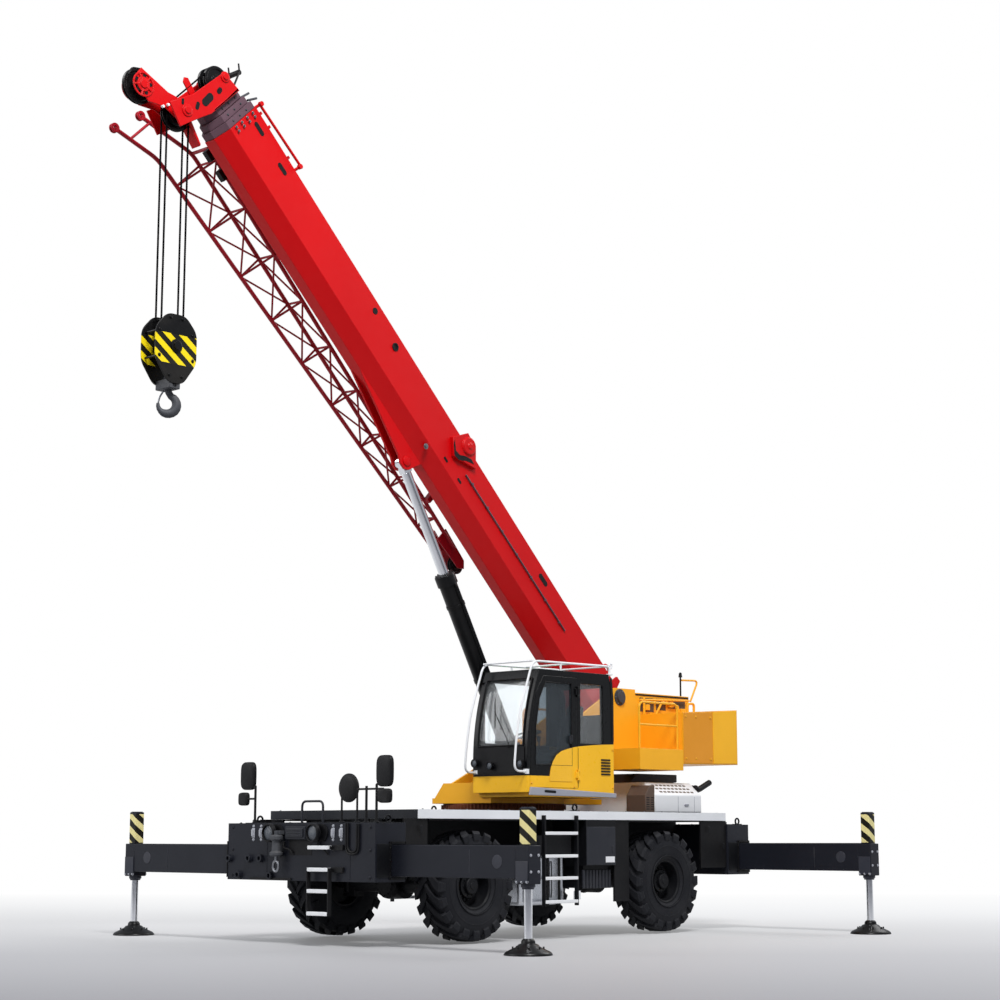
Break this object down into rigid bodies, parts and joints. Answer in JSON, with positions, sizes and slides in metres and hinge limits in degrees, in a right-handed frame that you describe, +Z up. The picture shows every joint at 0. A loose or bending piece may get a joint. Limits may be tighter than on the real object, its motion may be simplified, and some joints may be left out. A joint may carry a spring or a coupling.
{
  "type": "two-axle mobile crane with a telescopic boom on outriggers",
  "caption": "Mobile crane on outriggers: slewing cab and telescopic boom at 45 degrees, lift cylinder, hook block, stowed lattice jib, steered wheels.",
  "frame": {"origin": "middle of the whole object's box, at the floor", "axes": "-Y is the vehicle's front, +X its left side and +Z up"},
  "size_m": [8.2399, 11.3927, 11.7761],
  "materials": {
    "carrier_paint": "semi-gloss charcoal",
    "deck_grey": "matte grey with a pale edge",
    "yellow_paint": "gloss yellow",
    "orange_paint": "gloss orange-yellow",
    "red_paint": "gloss red",
    "white_paint": "gloss white",
    "black_paint": "semi-gloss black",
    "hazard_stripe": "black and pale yellow diagonal stripes",
    "cast": "rough cast, dark",
    "bare_steel": "machined",
    "rod_chrome": "ground and plated",
    "silver_tank": "satin",
    "tyre_rubber": "matte",
    "glazing": "tinted",
    "seat_trim": "woven",
    "rope_steel": "laid wire rope",
    "lamp_lens": "clear lens in a dark ring",
    "black_plastic": "grained"
  },
  "bodies": {
    "carrier": {"carrier_frame": "carrier_paint", "outrigger_boxes": "carrier_paint", "deck_plates": "deck_grey", "slew_ring": "bare_steel", "front_axle": "cast", "rear_axle": "cast", "engine_hood": "white_paint", "engine_block": "cast", "driveline": "cast", "fuel_tank": "silver_tank", "side_cabinets": "black_paint", "exhaust_stack": "bare_steel", "access_ladders": "white_paint", "mirrors": "black_plastic", "lamps": "lamp_lens", "auxiliary_hook": "cast", "deck_rails": "white_paint"},
    "superstructure": {"turntable": "orange_paint", "counterweight": "orange_paint", "cab_shell": "yellow_paint", "cab_glass": "glazing", "cab_guard_bars": "white_paint", "operator_seat": "seat_trim", "superstructure_handrails": "yellow_paint"},
    "cab_door": {"cab_door": "black_paint", "cab_door_glass": "glazing"},
    "main_drum": {"main_winch_drum": "rope_steel"},
    "auxiliary_drum": {"auxiliary_winch_drum": "rope_steel"},
    "boom_base": {"boom_base": "red_paint", "fly_jib": "red_paint"},
    "boom_2": {"boom_section_2": "red_paint"},
    "boom_3": {"boom_section_3": "red_paint"},
    "boom_4": {"boom_section_4": "red_paint", "boom_head": "red_paint", "head_sheaves": "black_plastic"},
    "falls": {"rope_falls": "rope_steel"},
    "block": {"hook_block": "black_paint"},
    "hook": {"hook": "cast"},
    "lift_rod": {"lift_cylinder_rod": "rod_chrome"},
    "lift_barrel": {"lift_cylinder_barrel": "black_paint"},
    "knuckle_fl": {"knuckle_fl": "cast"},
    "wheel_fl": {"rim_fl": "yellow_paint", "tyre_fl": "tyre_rubber"},
    "beam_fl": {"outrigger_beam_fl": "hazard_stripe"},
    "jack_fl": {"outrigger_jack_fl": "black_paint"},
    "knuckle_fr": {"knuckle_fr": "cast"},
    "wheel_fr": {"rim_fr": "yellow_paint", "tyre_fr": "tyre_rubber"},
    "beam_fr": {"outrigger_beam_fr": "hazard_stripe"},
    "jack_fr": {"outrigger_jack_fr": "black_paint"},
    "knuckle_rl": {"knuckle_rl": "cast"},
    "wheel_rl": {"rim_rl": "yellow_paint", "tyre_rl": "tyre_rubber"},
    "beam_rl": {"outrigger_beam_rl": "hazard_stripe"},
    "jack_rl": {"outrigger_jack_rl": "black_paint"},
    "knuckle_rr": {"knuckle_rr": "cast"},
    "wheel_rr": {"rim_rr": "yellow_paint", "tyre_rr": "tyre_rubber"},
    "beam_rr": {"outrigger_beam_rr": "hazard_stripe"},
    "jack_rr": {"outrigger_jack_rr": "black_paint"}
  },
  "joints": [
    {"name": "slew", "type": "hinge", "parent": "carrier", "child": "superstructure", "pos_m": [0, 1.55, 1.9], "axis": [0, 0, 1], "continuous": true},
    {"name": "boom_luff", "type": "hinge", "parent": "superstructure", "child": "boom_base", "pos_m": [0, 3.81, 3.578], "axis": [-1, 0, 0], "range_deg": [-45, 35]},
    {"name": "boom_extend_2", "type": "slide", "parent": "boom_base", "child": "boom_2", "axis": [0, -0.7071, 0.7071], "range_m": [0, 7.2]},
    {"name": "boom_extend_3", "type": "slide", "parent": "boom_2", "child": "boom_3", "axis": [0, -0.7071, 0.7071], "range_m": [0, 7.2]},
    {"name": "boom_extend_4", "type": "slide", "parent": "boom_3", "child": "boom_4", "axis": [0, -0.7071, 0.7071], "range_m": [0, 7.2]},
    {"name": "hook_swing", "type": "hinge", "parent": "boom_4", "child": "falls", "pos_m": [0, -4.8358, 10.93969], "axis": [-1, 0, 0], "range_deg": [-35.5, 45.5]},
    {"name": "hook_hoist", "type": "slide", "parent": "falls", "child": "block", "axis": [0, 0, -1], "range_m": [-2.2, 0], "deforming": ["rope_falls"]},
    {"name": "hook_swivel", "type": "hinge", "parent": "block", "child": "hook", "pos_m": [0, -4.8358, 7.2], "axis": [0, 0, 1], "continuous": true},
    {"name": "lift_rod_pin", "type": "hinge", "parent": "boom_base", "child": "lift_rod", "pos_m": [0, -0.5974, 6.79322], "axis": [-1, 0, 0], "range_deg": [-5.5, 4.3]},
    {"name": "lift_stroke", "type": "slide", "parent": "lift_rod", "child": "lift_barrel", "axis": [0, 0.4876, -0.8731], "range_m": [-1.62, 1.26]},
    {"name": "cab_door_hinge", "type": "hinge", "parent": "superstructure", "child": "cab_door", "pos_m": [1.47, 1.5675, 2.9], "axis": [0, 0, 1], "range_deg": [0, 95]},
    {"name": "main_drum_turn", "type": "hinge", "parent": "superstructure", "child": "main_drum", "pos_m": [0, 4.51, 3.07], "axis": [1, 0, 0], "continuous": true},
    {"name": "auxiliary_drum_turn", "type": "hinge", "parent": "superstructure", "child": "auxiliary_drum", "pos_m": [0, 5.09, 3.07], "axis": [1, 0, 0], "continuous": true},
    {"name": "steer_fl", "type": "hinge", "parent": "carrier", "child": "knuckle_fl", "pos_m": [1, -0.61, 0.765], "axis": [0, 0, 1], "range_deg": [-30, 30]},
    {"name": "wheel_turn_fl", "type": "hinge", "parent": "knuckle_fl", "child": "wheel_fl", "pos_m": [1.3, -0.61, 0.765], "axis": [1, 0, 0], "continuous": true},
    {"name": "beam_slide_fl", "type": "slide", "parent": "carrier", "child": "beam_fl", "axis": [1, 0, 0], "range_m": [-2.18, 0]},
    {"name": "jack_slide_fl", "type": "slide", "parent": "beam_fl", "child": "jack_fl", "axis": [0, 0, -1], "range_m": [-0.6, 0]},
    {"name": "steer_fr", "type": "hinge", "parent": "carrier", "child": "knuckle_fr", "pos_m": [-1, -0.61, 0.765], "axis": [0, 0, 1], "range_deg": [-30, 30]},
    {"name": "wheel_turn_fr", "type": "hinge", "parent": "knuckle_fr", "child": "wheel_fr", "pos_m": [-1.3, -0.61, 0.765], "axis": [1, 0, 0], "continuous": true},
    {"name": "beam_slide_fr", "type": "slide", "parent": "carrier", "child": "beam_fr", "axis": [-1, 0, 0], "range_m": [-2.18, 0]},
    {"name": "jack_slide_fr", "type": "slide", "parent": "beam_fr", "child": "jack_fr", "axis": [0, 0, -1], "range_m": [-0.6, 0]},
    {"name": "steer_rl", "type": "hinge", "parent": "carrier", "child": "knuckle_rl", "pos_m": [1, 3.51, 0.765], "axis": [0, 0, 1], "range_deg": [-30, 30]},
    {"name": "wheel_turn_rl", "type": "hinge", "parent": "knuckle_rl", "child": "wheel_rl", "pos_m": [1.3, 3.51, 0.765], "axis": [1, 0, 0], "continuous": true},
    {"name": "beam_slide_rl", "type": "slide", "parent": "carrier", "child": "beam_rl", "axis": [1, 0, 0], "range_m": [-2.18, 0]},
    {"name": "jack_slide_rl", "type": "slide", "parent": "beam_rl", "child": "jack_rl", "axis": [0, 0, -1], "range_m": [-0.6, 0]},
    {"name": "steer_rr", "type": "hinge", "parent": "carrier", "child": "knuckle_rr", "pos_m": [-1, 3.51, 0.765], "axis": [0, 0, 1], "range_deg": [-30, 30]},
    {"name": "wheel_turn_rr", "type": "hinge", "parent": "knuckle_rr", "child": "wheel_rr", "pos_m": [-1.3, 3.51, 0.765], "axis": [1, 0, 0], "continuous": true},
    {"name": "beam_slide_rr", "type": "slide", "parent": "carrier", "child": "beam_rr", "axis": [-1, 0, 0], "range_m": [-2.18, 0]},
    {"name": "jack_slide_rr", "type": "slide", "parent": "beam_rr", "child": "jack_rr", "axis": [0, 0, -1], "range_m": [-0.6, 0]}
  ],
  "couplings": [
    {"joint": "steer_fr", "follows": "steer_fl", "ratio": 1},
    {"joint": "steer_rr", "follows": "steer_rl", "ratio": 1},
    {"joint": "hook_swing", "follows": "boom_luff", "ratio": -1},
    {"joint": "lift_rod_pin", "follows": "boom_luff", "ratio": 0.12},
    {"joint": "lift_stroke", "follows": "boom_luff", "m_per_rad": 2.05}
  ]
}
